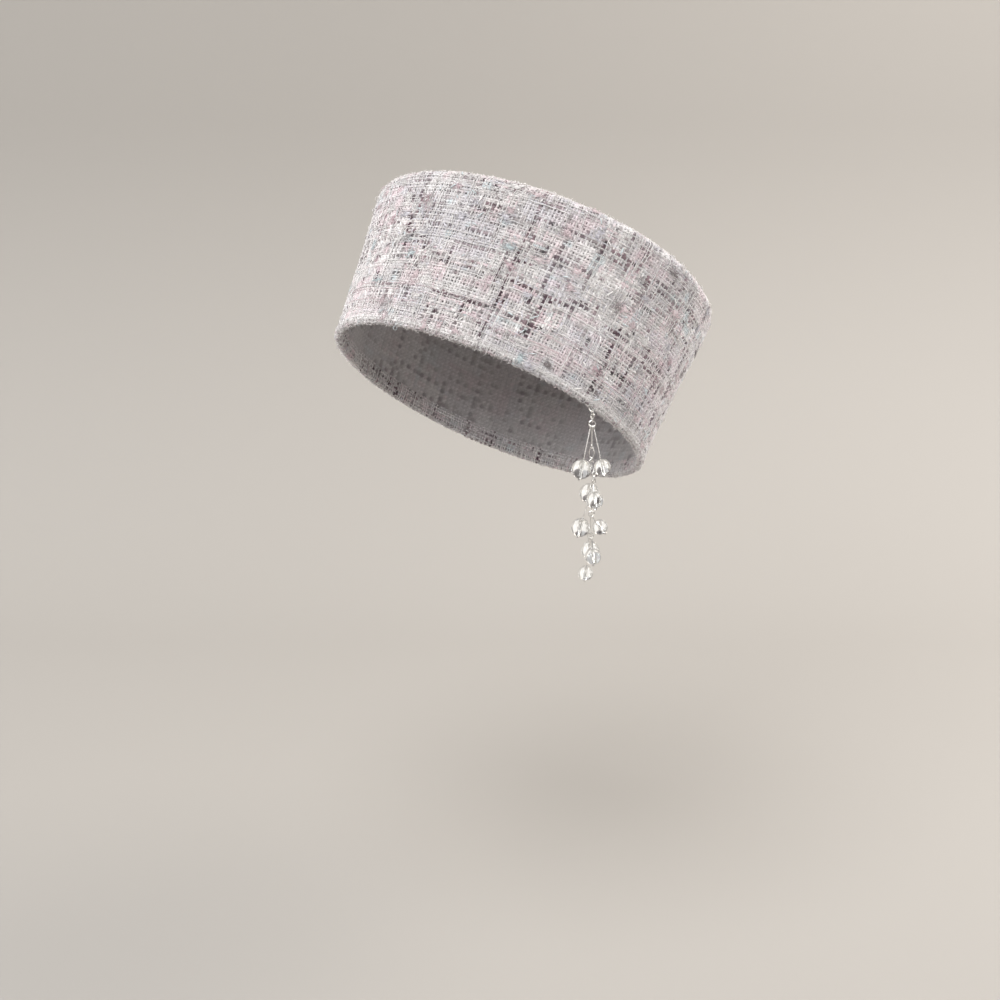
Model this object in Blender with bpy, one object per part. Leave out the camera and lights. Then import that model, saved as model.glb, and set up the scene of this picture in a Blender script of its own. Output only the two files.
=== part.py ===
# Tweed pillbox hat, worn tilted back, with a drop of round glass beads at the left of its rim.
# +X is the wearer's left, -Y the front, +Z up; the origin is the middle of the head opening.
import math

import bpy
from mathutils import Matrix, Vector

# Lengths are in millimetres, angles in degrees
MM = 0.001
GAP = 0.3

# Hat: an oval head opening below, a round crown above
HEAD_ROUND = 570.0
HEAD_LENGTH_TO_WIDTH = 1.15
WALL = 3.0
BAND_HEIGHT = 90.2
TOP_RADIUS = 100.9
TOP_EDGE_ROUND = 4.8
TILT_BACK = 34.1
# The top isn't quite round: three soft lobes, as parts of its radius, fading out towards the rim
LOBE_COUNT = 3
LOBE_COS = 0.0110
LOBE_SIN = -0.0040

# Crown tip, let into the top edge of the band; the band's edge is as deep as the tip is thick
SEAM_INSET = 5.4
CROWN_THICK = 2.6
CROWN_DOME = 3.0
# Inside of the band below the seam: depth below the top and inset, down to the plain wall
SEAM_UNDERSIDE = (
    {"below": 2.9, "inset": 5.4},
    {"below": 4.6, "inset": 4.6},
    {"below": 7.0, "inset": 3.4},
    {"below": 9.5, "inset": 3.0},
)

# Facets
SECTIONS = 60
HEM_STEPS = 6
OUTER_STEPS = 7
EDGE_STEPS = 5
INNER_STEPS = 6
CROWN_RINGS = (0.9, 0.7, 0.45, 0.2)

# Ring caught in the hem, from which the drop hangs
RIM_RING_ANGLE = -13.2
RIM_RING_HEIGHT = 0.6
RIM_RING_RADIUS = 2.3
RIM_WIRE_RADIUS = 0.35
CHANNEL_RADIUS = 0.72

# Wire of the drop
WIRE_RADIUS = 0.3
WIRE_SIDES_RESOLUTION = 1
EYE_RADIUS = 1.0
EYE_START = -40.0
EYE_END = 225.0
EYE_STEPS = 8
EYE_NECK = 1.35
HEAD_WIDENING = 2.4
HEAD_THICK = 0.5
RING_POINTS = 14

# Small oval links between the rim ring and the main ring
LINK_COUNT = 3
LINK_HALF_LENGTH = 1.4
LINK_HALF_WIDTH = 0.97
LINK_HOLD = 0.9

# Direction in which the drop spreads, from +X towards +Y
SPREAD = 39.2

# Beads are glass balls drilled for a wire
BEAD_SEGMENTS = 16
BEAD_ARC_STEPS = 8
HOLE_RADIUS = WIRE_RADIUS + GAP

# Places in the drop: across its spread, behind it, and below the point where it hangs
# name, radius, across, behind, below, faces: True if the ring lies flat in the spread
RINGS = (
    ("main_ring", 1.75, 0.0, 0.0, 6.55, True),
    ("small_ring", 1.3, 0.0, 0.0, 25.2, False),
    ("ring_2", 2.2, 1.3, 0.0, 35.5, False),
    ("ring_3", 1.5, 0.55, 0.0, 55.0, True),
    ("ring_4", 1.5, 0.2, 0.0, 67.0, True),
)

# Diamond link of bent wire, flat in the spread
DIAMOND = {"half_width": 1.55, "top": 18.8, "bottom": 24.8}

# name, diameter, across, behind, below, ring it hangs from, shift of its eye along that ring
BEADS = (
    ("bead_1", 10.5, -5.24, -2.2, 30.2, "main_ring", -1.0),
    ("bead_2", 8.9, 5.55, -2.2, 29.2, "main_ring", 1.0),
    ("bead_3", 10.4, -0.36, 5.7, 45.2, "ring_2", 1.5),
    ("bead_4", 9.0, 1.85, -5.4, 46.0, "ring_2", -1.5),
    ("bead_5", 9.9, -5.3, -2.2, 61.7, "ring_2", 0.5),
    ("bead_6", 8.1, 5.0, -2.2, 61.5, "ring_3", 0.9),
    ("bead_7", 9.8, 0.67, 5.5, 76.6, "ring_4", -1.0),
    ("bead_8", 8.7, 1.44, -4.6, 77.0, "ring_4", 1.0),
    ("bead_9", 7.9, -1.95, 0.0, 87.7, "ring_4", 0.0),
)

# Wires with an eye at both ends: name, ring above, shift of the eye along it, ring below
BARS = (
    ("bar_1", "main_ring", 0.0, "diamond_link"),
    ("bar_2", "small_ring", 0.0, "ring_2"),
    ("bar_3", "ring_2", -0.5, "ring_3"),
    ("bar_4", "ring_3", -0.35, "ring_4"),
)

MATERIALS = {
    "tweed": {"color": (0.72, 0.62, 0.60, 1.0), "rough": 0.9, "metal": 0.0},
    "silver": {"color": (0.80, 0.79, 0.77, 1.0), "rough": 0.2, "metal": 1.0},
    "glass": {"color": (0.92, 0.94, 0.95, 1.0), "rough": 0.05, "metal": 0.0},
}


# Scene and materials

def clear_scene():
    for item in list(bpy.data.objects):
        bpy.data.objects.remove(item, do_unlink=True)


def collection_named(name, hidden=False):
    made = bpy.data.collections.new(name)
    bpy.context.scene.collection.children.link(made)
    made.hide_render = hidden
    return made


def material_for(name, kind):
    look = MATERIALS[kind]
    material = bpy.data.materials.new(name + "_" + kind)
    material.use_nodes = True
    shader = material.node_tree.nodes["Principled BSDF"]
    shader.inputs["Base Color"].default_value = look["color"]
    shader.inputs["Roughness"].default_value = look["rough"]
    shader.inputs["Metallic"].default_value = look["metal"]
    if kind == "glass":
        shader.inputs["Transmission Weight"].default_value = 1.0
    return material


def mesh_object(name, kind, points, faces, group, smooth_angle=40.0, parent=None):
    mesh = bpy.data.meshes.new(name)
    mesh.from_pydata([tuple(point * MM) for point in points], [], faces)
    mesh.validate()
    made = bpy.data.objects.new(name, mesh)
    made.parent = parent
    group.objects.link(made)
    mesh.shade_smooth()
    mesh.set_sharp_from_angle(angle=math.radians(smooth_angle))
    if kind:
        mesh.materials.append(material_for(name, kind))
    return made


# Hat

def head_half_axes():
    """Half the length and half the width of the oval head opening, from its distance round."""
    ratio = HEAD_LENGTH_TO_WIDTH
    spread = 3 * (ratio + 1) - math.sqrt((3 * ratio + 1) * (ratio + 3))
    half_width = HEAD_ROUND / (math.pi * spread)
    return half_width * ratio, half_width


HEAD_HALF_LENGTH, HEAD_HALF_WIDTH = head_half_axes()
TILT = Matrix.Rotation(-math.radians(TILT_BACK), 3, "X")


def wall_point(angle, height, inset, shrink=1.0):
    """A point of the soft wall, inset from its outer face, in the hat's own upright frame."""
    rise = min(max(height / BAND_HEIGHT, 0.0), 1.0)
    half_width = HEAD_HALF_WIDTH + WALL
    half_length = HEAD_HALF_LENGTH + WALL
    half_width += (TOP_RADIUS - half_width) * rise - inset
    half_length += (TOP_RADIUS - half_length) * rise - inset
    turn = LOBE_COUNT * angle
    lobe = 1 + rise * (LOBE_COS * math.cos(turn) + LOBE_SIN * math.sin(turn))
    across = half_width * math.cos(angle) * lobe * shrink
    along = half_length * math.sin(angle) * lobe * shrink
    return Vector((across, along, height))


def band_profile():
    """Closed profile of the band as (height, inset): hem, outer face, top edge, seam, inner face."""
    half = WALL / 2
    profile = []
    for step in range(HEM_STEPS + 1):
        turn = math.pi * step / HEM_STEPS
        profile.append((half - half * math.sin(turn), half + half * math.cos(turn)))
    edge_start = BAND_HEIGHT - TOP_EDGE_ROUND
    for step in range(1, OUTER_STEPS):
        profile.append((half + (edge_start - half) * step / OUTER_STEPS, 0.0))
    for step in range(EDGE_STEPS + 1):
        turn = math.pi / 2 * step / EDGE_STEPS
        height = edge_start + TOP_EDGE_ROUND * math.sin(turn)
        profile.append((height, TOP_EDGE_ROUND * (1 - math.cos(turn))))
    profile.append((BAND_HEIGHT - 0.5, SEAM_INSET))
    for row in SEAM_UNDERSIDE:
        profile.append((BAND_HEIGHT - row["below"], row["inset"]))
    inner_top = BAND_HEIGHT - SEAM_UNDERSIDE[-1]["below"]
    for step in range(1, INNER_STEPS):
        profile.append((inner_top - (inner_top - half) * step / INNER_STEPS, WALL))
    return profile


def make_band(group):
    profile = band_profile()
    points = []
    faces = []
    for section in range(SECTIONS):
        angle = 2 * math.pi * section / SECTIONS
        points += [TILT @ wall_point(angle, height, inset) for height, inset in profile]
    count = len(profile)
    for section in range(SECTIONS):
        following = (section + 1) % SECTIONS
        for step in range(count):
            above = (step + 1) % count
            faces.append((
                section * count + step,
                following * count + step,
                following * count + above,
                section * count + above,
            ))
    return mesh_object("side_band", "tweed", points, faces, group)


def crown_rings():
    """Rings of the crown tip as (shrink, height), from the middle of its underside out and over."""
    underside = BAND_HEIGHT - CROWN_THICK

    def dome(shrink):
        return CROWN_DOME * (1 - shrink * shrink)

    rings = [(shrink, underside + dome(shrink)) for shrink in reversed(CROWN_RINGS)]
    rings.append((1.0, underside))
    rings.append((1.0, BAND_HEIGHT - 0.6))
    rings.append((0.993, BAND_HEIGHT))
    rings += [(shrink, BAND_HEIGHT + dome(shrink)) for shrink in CROWN_RINGS]
    return rings


def make_crown(group):
    inset = SEAM_INSET + GAP
    points = []
    faces = []
    rings = crown_rings()
    for shrink, height in rings:
        for section in range(SECTIONS):
            angle = 2 * math.pi * section / SECTIONS
            points.append(TILT @ wall_point(angle, height, inset, shrink))
    bottom = len(points)
    points.append(TILT @ Vector((0, 0, BAND_HEIGHT - CROWN_THICK + CROWN_DOME)))
    points.append(TILT @ Vector((0, 0, BAND_HEIGHT + CROWN_DOME)))
    last = (len(rings) - 1) * SECTIONS
    for section in range(SECTIONS):
        following = (section + 1) % SECTIONS
        faces.append((bottom, following, section))
        faces.append((bottom + 1, last + section, last + following))
        for ring in range(len(rings) - 1):
            low = ring * SECTIONS
            high = low + SECTIONS
            faces.append((low + section, low + following, high + following, high + section))
    return mesh_object("crown_top", "tweed", points, faces, group)


# Rim ring and the frame of the drop

def rim_ring_frame():
    """Centre of the rim ring, the wall's outward direction there, and the way the ring hangs."""
    angle = math.radians(RIM_RING_ANGLE)
    centre = TILT @ wall_point(angle, RIM_RING_HEIGHT, WALL / 2)
    out = Vector((
        math.cos(angle) / (HEAD_HALF_WIDTH + WALL / 2),
        math.sin(angle) / (HEAD_HALF_LENGTH + WALL / 2),
        0.0,
    ))
    out = (TILT @ out).normalized()
    down = Vector((0, 0, -1))
    down = (down - out * down.dot(out)).normalized()
    return centre, out, down


RIM_CENTRE, RIM_OUT, RIM_DOWN = rim_ring_frame()
HANG_POINT = RIM_CENTRE + RIM_DOWN * RIM_RING_RADIUS
HANG_AXIS = RIM_OUT.cross(RIM_DOWN).normalized()
ACROSS = Vector((math.cos(math.radians(SPREAD)), math.sin(math.radians(SPREAD)), 0))
BEHIND = Vector((-ACROSS.y, ACROSS.x, 0))
UP = Vector((0, 0, 1))


def drop_place(across, behind, below):
    """A place in the drop, measured from the point where it hangs."""
    return ACROSS * across + BEHIND * behind - UP * below


def make_hanger(group):
    """The drop's pieces ride on this empty, which sits on the axis that they swing about."""
    hanger = bpy.data.objects.new("drop_swing_axis", None)
    hanger.empty_display_size = 5 * MM
    hanger.location = HANG_POINT * MM
    group.objects.link(hanger)
    return hanger


# Wire pieces

def curve_object(name, kind, points, radius, group, closed=False, widths=None, parent=None):
    curve = bpy.data.curves.new(name, "CURVE")
    curve.dimensions = "3D"
    curve.bevel_depth = radius * MM
    curve.bevel_resolution = WIRE_SIDES_RESOLUTION
    curve.use_fill_caps = not closed
    spline = curve.splines.new("POLY")
    spline.points.add(len(points) - 1)
    spline.use_cyclic_u = closed
    for index, point in enumerate(points):
        place = point * MM
        spline.points[index].co = (place.x, place.y, place.z, 1.0)
        spline.points[index].radius = widths[index] if widths else 1.0
    made = bpy.data.objects.new(name, curve)
    made.parent = parent
    group.objects.link(made)
    if kind:
        curve.materials.append(material_for(name, kind))
    return made


def loop_points(centre, side, up, half_side, half_up, count=RING_POINTS):
    points = []
    for step in range(count):
        turn = 2 * math.pi * step / count
        points.append(centre + side * half_side * math.cos(turn) + up * half_up * math.sin(turn))
    return points


def eye_points(centre, side, up):
    """An eye bent at the top of a wire, from its free end round to the neck below it."""
    points = []
    for step in range(EYE_STEPS + 1):
        turn = math.radians(EYE_START + (EYE_END - EYE_START) * step / EYE_STEPS)
        points.append(centre + (side * math.cos(turn) + up * math.sin(turn)) * EYE_RADIUS)
    points.append(centre - up * EYE_RADIUS * EYE_NECK)
    return points


RING_TABLE = {
    name: {"radius": radius, "place": drop_place(across, behind, below), "faces": faces}
    for name, radius, across, behind, below, faces in RINGS
}


def eye_on(ring, shift):
    """Where an eye hangs on a ring, and the level direction in which the eye lies."""
    row = RING_TABLE[ring]
    along, side = (ACROSS, BEHIND) if row["faces"] else (BEHIND, ACROSS)
    sag = math.sqrt(row["radius"] ** 2 - shift ** 2)
    return row["place"] + along * shift - UP * sag, side


def eye_under(ring):
    """Where an eye holds a ring by its top, and the level direction in which the eye lies."""
    if ring == "diamond_link":
        return drop_place(0, 0, DIAMOND["top"]), BEHIND
    row = RING_TABLE[ring]
    return row["place"] + UP * row["radius"], BEHIND if row["faces"] else ACROSS


def make_rings(group, hanger):
    for name, row in RING_TABLE.items():
        side = ACROSS if row["faces"] else BEHIND
        points = loop_points(row["place"], side, UP, row["radius"], row["radius"])
        curve_object(name, "silver", points, WIRE_RADIUS, group, closed=True, parent=hanger)


def make_links(group, hanger):
    """Oval links, each turned by the same angle, from the rim ring's plane to the main ring's."""
    start = math.degrees(math.atan2(HANG_AXIS.y, HANG_AXIS.x)) % 180
    turn = (SPREAD + 360 - start) / (LINK_COUNT + 1)
    for index in range(LINK_COUNT):
        angle = math.radians(start + turn * (index + 1))
        side = Vector((math.cos(angle), math.sin(angle), 0))
        pitch = 2 * LINK_HALF_LENGTH - LINK_HOLD
        centre = drop_place(0, 0, pitch * index - LINK_HOLD + LINK_HALF_LENGTH)
        points = loop_points(centre, side, UP, LINK_HALF_WIDTH, LINK_HALF_LENGTH)
        name = "link_" + str(index + 1)
        curve_object(name, "silver", points, WIRE_RADIUS, group, closed=True, parent=hanger)


def make_diamond(group, hanger):
    """The diamond link: four straight sides with its corners cut."""
    middle = (DIAMOND["top"] + DIAMOND["bottom"]) / 2
    half_up = (DIAMOND["bottom"] - DIAMOND["top"]) / 2
    half_side = DIAMOND["half_width"]
    corner = 0.16
    points = []
    for side_sign, up_sign in ((1, 1), (-1, 1), (-1, -1), (1, -1)):
        ends = [(side_sign * (1 - corner), up_sign * corner * 1.1), (side_sign * 0.35, up_sign * 0.97)]
        if side_sign * up_sign < 0:
            ends.reverse()
        for across, up in ends:
            points.append(drop_place(across * half_side, 0, middle - up * half_up))
    curve_object(
        "diamond_link", "silver", points, WIRE_RADIUS, group, closed=True, parent=hanger
    )


def make_bars(group, hanger):
    for name, upper, shift, lower in BARS:
        top, top_side = eye_on(upper, shift)
        bottom, bottom_side = eye_under(lower)
        points = eye_points(top, top_side, UP)
        points += reversed(eye_points(bottom, bottom_side, -UP))
        curve_object(name, "silver", points, WIRE_RADIUS, group, parent=hanger)


def make_bead(name, diameter, centre, hole_direction, group, hanger):
    """A drilled glass ball: its profile runs down the outer side, then up the hole."""
    radius = diameter / 2
    start = math.asin(HOLE_RADIUS / radius)
    profile = []
    for step in range(BEAD_ARC_STEPS + 1):
        turn = start + (math.pi - 2 * start) * step / BEAD_ARC_STEPS
        profile.append((radius * math.sin(turn), radius * math.cos(turn)))
    turned = hole_direction.to_track_quat("Z", "Y").to_matrix()
    points = []
    faces = []
    count = len(profile)
    for segment in range(BEAD_SEGMENTS):
        angle = 2 * math.pi * segment / BEAD_SEGMENTS
        for out, up in profile:
            local = Vector((out * math.cos(angle), out * math.sin(angle), up))
            points.append(centre + turned @ local)
    for segment in range(BEAD_SEGMENTS):
        following = (segment + 1) % BEAD_SEGMENTS
        for step in range(count):
            below = (step + 1) % count
            faces.append((
                segment * count + step,
                segment * count + below,
                following * count + below,
                following * count + step,
            ))
    return mesh_object(name, "glass", points, faces, group, smooth_angle=60.0, parent=hanger)


def make_beads(group, hanger):
    for name, diameter, across, behind, below, ring, shift in BEADS:
        centre = drop_place(across, behind, below)
        eye, side = eye_on(ring, shift)
        points = eye_points(eye, side, UP)
        stem = (centre - points[-1]).normalized()
        make_bead(name, diameter, centre, -stem, group, hanger)
        head = diameter / 2 + GAP
        widths = [1.0] * len(points) + [1.0, HEAD_WIDENING, HEAD_WIDENING]
        points += [
            centre + stem * head,
            centre + stem * (head + 0.05),
            centre + stem * (head + HEAD_THICK),
        ]
        pin = name.replace("bead", "pin")
        curve_object(pin, "silver", points, WIRE_RADIUS, group, widths=widths, parent=hanger)


def make_rim_ring(group, cutters, band):
    points = loop_points(RIM_CENTRE, HANG_AXIS, -RIM_DOWN, RIM_RING_RADIUS, RIM_RING_RADIUS, 20)
    curve_object("rim_ring", "silver", points, RIM_WIRE_RADIUS, group, closed=True)
    wide = curve_object("ring_channel", None, points, CHANNEL_RADIUS, cutters, closed=True)
    graph = bpy.context.evaluated_depsgraph_get()
    mesh = bpy.data.meshes.new_from_object(wide.evaluated_get(graph))
    bpy.data.objects.remove(wide, do_unlink=True)
    channel = bpy.data.objects.new("ring_channel", mesh)
    cutters.objects.link(channel)
    channel.hide_render = True
    channel.display_type = "WIRE"
    cut = band.modifiers.new("ring_channel", "BOOLEAN")
    cut.operation = "DIFFERENCE"
    cut.solver = "EXACT"
    cut.object = channel


clear_scene()
HAT = collection_named("pillbox_hat")
CUTTERS = collection_named("cutters", hidden=True)
BAND = make_band(HAT)
make_crown(HAT)
make_rim_ring(HAT, CUTTERS, BAND)
HANGER = make_hanger(HAT)
make_links(HAT, HANGER)
make_rings(HAT, HANGER)
make_diamond(HAT, HANGER)
make_bars(HAT, HANGER)
make_beads(HAT, HANGER)
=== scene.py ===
import math

import bpy
import numpy as np
from mathutils import Matrix, Vector


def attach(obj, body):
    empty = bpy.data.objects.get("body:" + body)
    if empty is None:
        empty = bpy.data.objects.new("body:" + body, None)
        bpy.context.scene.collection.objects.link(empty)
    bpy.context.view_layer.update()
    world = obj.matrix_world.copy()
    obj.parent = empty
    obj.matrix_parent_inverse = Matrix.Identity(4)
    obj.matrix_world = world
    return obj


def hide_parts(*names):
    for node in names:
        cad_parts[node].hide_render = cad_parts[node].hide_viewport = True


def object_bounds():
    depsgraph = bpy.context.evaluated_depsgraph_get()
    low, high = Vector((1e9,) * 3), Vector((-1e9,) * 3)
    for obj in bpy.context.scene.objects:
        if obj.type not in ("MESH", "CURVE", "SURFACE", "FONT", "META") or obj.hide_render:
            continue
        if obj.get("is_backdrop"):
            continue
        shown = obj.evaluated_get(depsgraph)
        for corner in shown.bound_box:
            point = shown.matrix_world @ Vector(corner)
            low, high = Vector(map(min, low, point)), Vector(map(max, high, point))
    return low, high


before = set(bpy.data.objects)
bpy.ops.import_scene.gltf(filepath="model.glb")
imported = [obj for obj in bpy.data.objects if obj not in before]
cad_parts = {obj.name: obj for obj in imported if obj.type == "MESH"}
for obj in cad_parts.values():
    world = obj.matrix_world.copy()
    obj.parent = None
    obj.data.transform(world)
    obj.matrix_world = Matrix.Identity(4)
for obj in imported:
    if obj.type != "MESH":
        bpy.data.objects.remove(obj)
CAD_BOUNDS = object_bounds()

# Lengths are in millimetres, as in the part's own source, where no comment says metres
MM = 0.001

# Hat, with the part's own sizes
HEAD_ROUND = 570.0
HEAD_LENGTH_TO_WIDTH = 1.15
WALL = 3.0
BAND_HEIGHT = 90.2
TOP_RADIUS = 100.9
TOP_EDGE_ROUND = 4.8
TILT_BACK = math.radians(34.1)
LOBE_COUNT = 3
LOBE_COS = 0.0110
LOBE_SIN = -0.0040
SEAM_INSET = 5.4
SEAM_GAP = 0.3
CROWN_DOME = 3.0
CROWN_THICK = 2.6

# Slight unevenness of the soft wall: swells round the hat, their height, depth, and the hem that stays true
UNEVEN_ROUND = 9
UNEVEN_TALL = 34.0
UNEVEN_DEPTH = 0.55
HEM_KEPT = 4.0
HEM_FADE = 14.0

# Camera: 50 mm lens on a 36 mm sensor, placed so that the rim's middle falls where it does in the photo
LENS = 50.0
SENSOR = 36.0
PICTURE = 1000
CAMERA_AZIMUTH = math.radians(39.2)
CAMERA_DOWN = math.radians(15.6)
CAMERA_DEPTH = 783.2
RIM_MIDDLE_PIXEL = (489.67, 405.46)
FLOOR_HEIGHT = -300.0

# Weave of the band: yarns up its height and round it, counted in cells
COLUMNS = 360
ROWS = 64
ROWS_INSIDE = 5
CELL = 1.65
MEAN_RADIUS = 97.0
ROW_WAVER = 0.5
COLUMN_WAVER = 0.28
SHELL_LIFT = -0.85

# Thick yarns: girths of plain, dark and softly dark ones, as factors of the width
YARN_WIDTH = 1.62
YARN_THICK = 0.85
YARN_LIFT = -0.40
YARN_SWING = 0.30
YARN_FOOT = 0.35
YARN_GIRTHS = (0.92, 1.18, 1.28)
GIRTH_VARIES = 0.15
GIRTH_LIMITS = (0.6, 1.6)
DARK_GIRTH = 1.30

# Fine threads over the yarns; girths and tones have the chance of each
THREAD_WIDTH = 0.42
THREAD_THICK = 0.38
THREAD_LIFT = 0.36
THREAD_SWING = 0.20
THREAD_FOOT = 0.4
THREAD_DIVE = 1.1
THREAD_DIVES_BELOW = -0.12
THREAD_WANDER = 0.15
THREAD_UNEVEN = 0.10
THREAD_END_LIFT = -0.2
THREAD_GIRTHS = {0.75: 0.4, 0.95: 0.4, 1.25: 0.2}
THREAD_TONES = {"white": 0.66, "ivory": 0.26, "pink": 0.08}

# Weave of the crown and of the cloth's inner face
CROWN_CELL = 2.0
CROWN_HALF = int(TOP_RADIUS / CROWN_CELL)
CROWN_EDGE_GAP = 0.5
CROWN_END_LIFT = -0.9
CROWN_SHORTEST = 6.0
INNER_COLUMNS = 210
INNER_ROWS = 30
INNER_RAISED = 0.30
INNER_SUNK = -0.12
INNER_FADED = 0.55
UNDER_CELL = 3.3

# Inner seam of the band under the crown: depth below the top and inset from the outer face
INNER_SEAM = ((3.4, 5.4), (4.6, 4.6), (7.0, 3.4))
INNER_FACE_TOP = BAND_HEIGHT - 9.5

# Loose pieces on the cloth
TUFTS = 250
TUFT_FIBRES = 42
CURLS = 500
GLINTS = 360
MOUND_RIM = 8
MOUND_POINTS = 2 * MOUND_RIM + 1
FIBRE_POINTS = 7

# Tones of the yarns, as 0 to 255 in sRGB
TONES = {
    "ivory": (229, 225, 225),
    "white": (238, 236, 236),
    "pink": (226, 211, 215),
    "rose": (212, 190, 197),
    "grey": (202, 199, 201),
    "stone": (158, 151, 152),
    "mauve": (131, 113, 118),
    "plum": (84, 66, 74),
    "umber": (64, 58, 60),
    "blue": (206, 216, 220),
    "lilac": (216, 214, 221),
}
TONE_NAMES = list(TONES)


def to_linear(tone):
    values = np.asarray(tone, float) / 255.0
    return np.where(values <= 0.04045, values / 12.92, ((values + 0.055) / 1.055) ** 2.4)


TONE_TABLE = np.array([to_linear(TONES[name]) for name in TONE_NAMES])
DARK_TONES = [TONE_NAMES.index(name) for name in ("stone", "mauve", "plum", "umber")]


def tone_number(name):
    return TONE_NAMES.index(name)


# Colour of the cloth's body, which shows between the yarns: stone darkened by half, painted shade in the
# gaps
GAP_SHADE_COLOUR = TONE_TABLE[tone_number("stone")] * 0.5


# Noise over a lattice that repeats in its first direction

def lattice_noise(x, y, cells, seed):
    """Smooth noise from -1 to 1; x runs from 0 to 1 and repeats, y counts cells from 0."""
    rng = np.random.default_rng(seed)
    gx = np.asarray(x, float) * cells
    gy = np.maximum(np.asarray(y, float), 0.0)
    lattice = rng.uniform(-1, 1, (cells, int(np.max(gy)) + 3))
    ix = np.floor(gx).astype(int)
    iy = np.floor(gy).astype(int)
    fx = gx - ix
    fy = gy - iy
    fx = fx * fx * (3 - 2 * fx)
    fy = fy * fy * (3 - 2 * fy)
    x0 = ix % cells
    x1 = (ix + 1) % cells
    low = lattice[x0, iy] * (1 - fx) + lattice[x1, iy] * fx
    high = lattice[x0, iy + 1] * (1 - fx) + lattice[x1, iy + 1] * fx
    return low * (1 - fy) + high * fy


# Form of the hat

def head_half_axes():
    """Half the length and half the width of the oval opening, from the length round it."""
    ratio = HEAD_LENGTH_TO_WIDTH
    spread = 3 * (ratio + 1) - math.sqrt((3 * ratio + 1) * (ratio + 3))
    half_width = HEAD_ROUND / (math.pi * spread)
    return half_width * ratio, half_width


HEAD_HALF_LENGTH, HEAD_HALF_WIDTH = head_half_axes()
HEM_ROUND = WALL / 2
HEM_LENGTH = math.pi * HEM_ROUND
SIDE_LENGTH = BAND_HEIGHT - TOP_EDGE_ROUND - HEM_ROUND
EDGE_LENGTH = math.pi / 2 * TOP_EDGE_ROUND
BAND_LENGTH = HEM_LENGTH + SIDE_LENGTH + EDGE_LENGTH + SEAM_INSET - TOP_EDGE_ROUND


def profile(s):
    """Height and inset at a length s up the cloth: below 0 inside, then hem, outer face and top edge."""
    edge_from = HEM_LENGTH + SIDE_LENGTH
    hem = np.clip(s, 0, HEM_LENGTH) / HEM_ROUND
    edge = np.clip(s - edge_from, 0, EDGE_LENGTH) / TOP_EDGE_ROUND
    height = HEM_ROUND * (1 - np.sin(hem)) + TOP_EDGE_ROUND * np.sin(edge)
    height = height + np.maximum(-s, 0) + np.clip(s - HEM_LENGTH, 0, SIDE_LENGTH)
    inset = HEM_ROUND * (1 + np.cos(hem)) + TOP_EDGE_ROUND * (1 - np.cos(edge))
    return height, inset + np.maximum(s - edge_from - EDGE_LENGTH, 0)


def wall(theta, height, inset):
    """Points of the soft wall in the hat's own upright frame, as the part's source makes them."""
    rise = np.clip(height / BAND_HEIGHT, 0.0, 1.0)
    half_width = HEAD_HALF_WIDTH + WALL
    half_length = HEAD_HALF_LENGTH + WALL
    half_width = half_width + (TOP_RADIUS - half_width) * rise - inset
    half_length = half_length + (TOP_RADIUS - half_length) * rise - inset
    turn = LOBE_COUNT * theta
    lobe = 1 + rise * (LOBE_COS * np.cos(turn) + LOBE_SIN * np.sin(turn))
    x = half_width * np.cos(theta) * lobe
    y = half_length * np.sin(theta) * lobe
    return np.stack(np.broadcast_arrays(x, y, height), axis=-1)


def tilted(points):
    """From the hat's own upright frame to the row frame, where it leans back."""
    x, y, z = points[..., 0], points[..., 1], points[..., 2]
    cos, sin = math.cos(TILT_BACK), math.sin(TILT_BACK)
    return np.stack((x, y * cos + z * sin, -y * sin + z * cos), axis=-1)


def cloth(theta, s):
    """Points of the cloth's middle surface, with the slight unevenness of a soft hand-made form."""
    height, inset = profile(s)
    points = wall(theta, height, inset)
    uneven = lattice_noise(theta / (2 * math.pi), np.clip(s + 20, 0, 200) / UNEVEN_TALL, UNEVEN_ROUND, 5)
    fade = np.clip((s - HEM_KEPT) / HEM_FADE, 0.0, 1.0)
    out = np.stack((np.cos(theta), np.sin(theta), np.zeros_like(theta)), axis=-1)
    return points + out * (UNEVEN_DEPTH * uneven * fade)[..., None]


def cloth_frame(theta, s):
    """Points of the cloth, steps round the hat there and outward normals."""
    theta, s = np.broadcast_arrays(np.asarray(theta, float), np.asarray(s, float))
    here = cloth(theta, s)
    round_way = cloth(theta + 1e-3, s) - cloth(theta - 1e-3, s)
    up_way = cloth(theta, s + 0.15) - cloth(theta, s - 0.15)
    normal = np.cross(round_way, up_way)
    normal /= np.linalg.norm(normal, axis=-1, keepdims=True) + 1e-12
    return here, round_way, normal


def on_cloth(theta, s, lift):
    here, _, normal = cloth_frame(theta, s)
    return here + normal * np.asarray(lift)[..., None]


# Meshes

def build_mesh(name, points, faces, colours=None, upright=True):
    """One mesh from points in the hat's own frame, or in the row frame, with a tone for each point."""
    mesh = bpy.data.meshes.new(name)
    points = points.reshape(-1, 3)
    if upright:
        points = tilted(points)
    mesh.from_pydata((points * MM).tolist(), [], faces)
    if colours is not None:
        layer = mesh.color_attributes.new(name="tone", type="FLOAT_COLOR", domain="POINT")
        values = np.ones((len(points), 4), np.float32)
        values[:, :3] = colours.reshape(-1, 3)
        layer.data.foreach_set("color", values.ravel())
    mesh.shade_smooth()
    mesh.update()
    made = bpy.data.objects.new(name, mesh)
    bpy.context.scene.collection.objects.link(made)
    return made


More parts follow.
